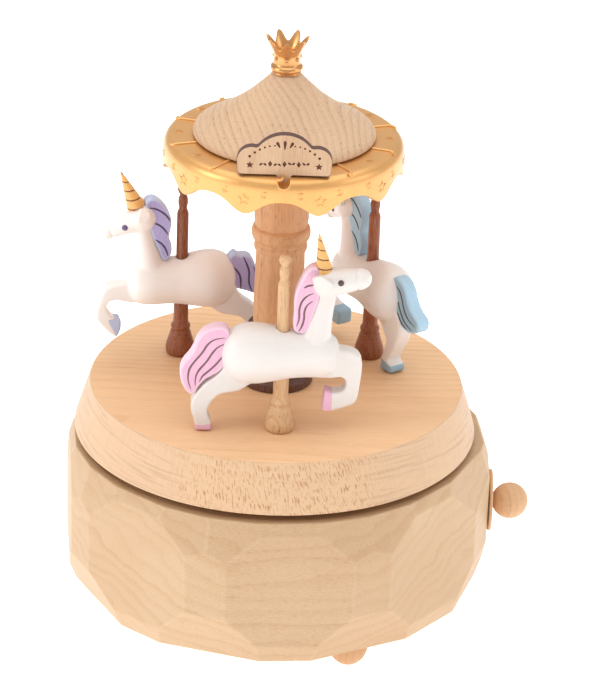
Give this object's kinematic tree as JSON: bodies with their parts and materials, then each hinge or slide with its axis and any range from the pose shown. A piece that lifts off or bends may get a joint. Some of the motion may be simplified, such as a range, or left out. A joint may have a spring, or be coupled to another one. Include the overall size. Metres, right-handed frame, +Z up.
{
  "type": "carousel music box",
  "caption": "Wooden carousel music box with a faceted base, revolving turntable, unicorn riders on posts, scalloped canopy and side winding knob.",
  "frame": {"origin": "on the vertical axis of rotation at floor level, in the plane of the ball feet's flats", "axes": "+Z up along the axis of rotation, -Y towards the front of the sign plate, +X towards the winding knob"},
  "size_m": [0.1427, 0.1278, 0.1865],
  "materials": {
    "base_maple": "satin clear lacquer",
    "beech": "satin clear lacquer",
    "walnut_stain": "dark stained, satin",
    "red_brown_stain": "stained, satin",
    "gilt_paint": "pearly gold paint on wood",
    "white_paint": "satin paint on wood",
    "pink_paint": "satin paint on wood",
    "blue_paint": "satin paint on wood",
    "lavender_paint": "satin paint on wood",
    "dark_paint": "glossy bead",
    "steel": "plain",
    "brass": "plain"
  },
  "bodies": {
    "base": {"base_body": "base_maple", "base_cover": "beech", "cover_screws": "steel", "ball_feet": "beech", "movement_frame": "brass", "top_bridge": "brass", "frame_screws": "steel", "comb": "steel", "comb_screws": "steel", "winding_bushing": "brass", "spindle_bushing": "brass", "click": "steel"},
    "carousel": {"spindle": "steel", "pinned_cylinder": "brass", "spindle_flange": "steel", "flange_screws": "steel", "turntable": "beech", "pedestal": "walnut_stain", "column": "beech", "canopy_ring": "gilt_paint", "roof": "beech", "crown": "gilt_paint", "sign_plate": "beech", "post_1": "beech", "post_2": "red_brown_stain", "post_3": "red_brown_stain", "torso_1": "white_paint", "torso_2": "white_paint", "torso_3": "white_paint", "head_1": "white_paint", "head_2": "white_paint", "head_3": "white_paint", "mane_1": "pink_paint", "mane_2": "blue_paint", "mane_3": "lavender_paint", "tail_1": "pink_paint", "tail_2": "blue_paint", "tail_3": "lavender_paint", "foreleg_1": "white_paint", "foreleg_2": "white_paint", "foreleg_3": "white_paint", "hindleg_1": "white_paint", "hindleg_2": "white_paint", "hindleg_3": "white_paint", "ears": "white_paint", "horns": "gilt_paint", "eyes": "dark_paint"},
    "barrel": {"spring_barrel": "brass", "great_wheel": "brass", "mainspring": "steel"},
    "winder": {"winding_arbor": "steel", "ratchet_wheel": "steel", "knob_plate": "beech", "knob_ball": "beech"},
    "idler": {"idler_wheel": "brass"},
    "governor": {"fly_arbor": "steel", "fly_vanes": "steel"}
  },
  "joints": [
    {"name": "turntable_spin", "type": "hinge", "parent": "base", "child": "carousel", "pos_m": [0, 0, 0.061], "axis": [0, 0, 1], "continuous": true},
    {"name": "barrel_spin", "type": "hinge", "parent": "base", "child": "barrel", "pos_m": [0.02, 0, 0.0372], "axis": [1, 0, 0], "continuous": true},
    {"name": "idler_spin", "type": "hinge", "parent": "base", "child": "idler", "pos_m": [-0.01082, 0.00625, 0.05], "axis": [0, 0, 1], "continuous": true},
    {"name": "governor_spin", "type": "hinge", "parent": "base", "child": "governor", "pos_m": [-0.02082, 0.00625, 0.05], "axis": [0, 0, 1], "continuous": true},
    {"name": "winding", "type": "hinge", "parent": "base", "child": "winder", "pos_m": [0.06, 0, 0.0372], "axis": [1, 0, 0], "range_deg": [0, 1440]}
  ],
  "couplings": [
    {"joint": "barrel_spin", "follows": "turntable_spin", "ratio": 0.64286},
    {"joint": "idler_spin", "follows": "turntable_spin", "ratio": -4},
    {"joint": "governor_spin", "follows": "turntable_spin", "ratio": 12}
  ]
}
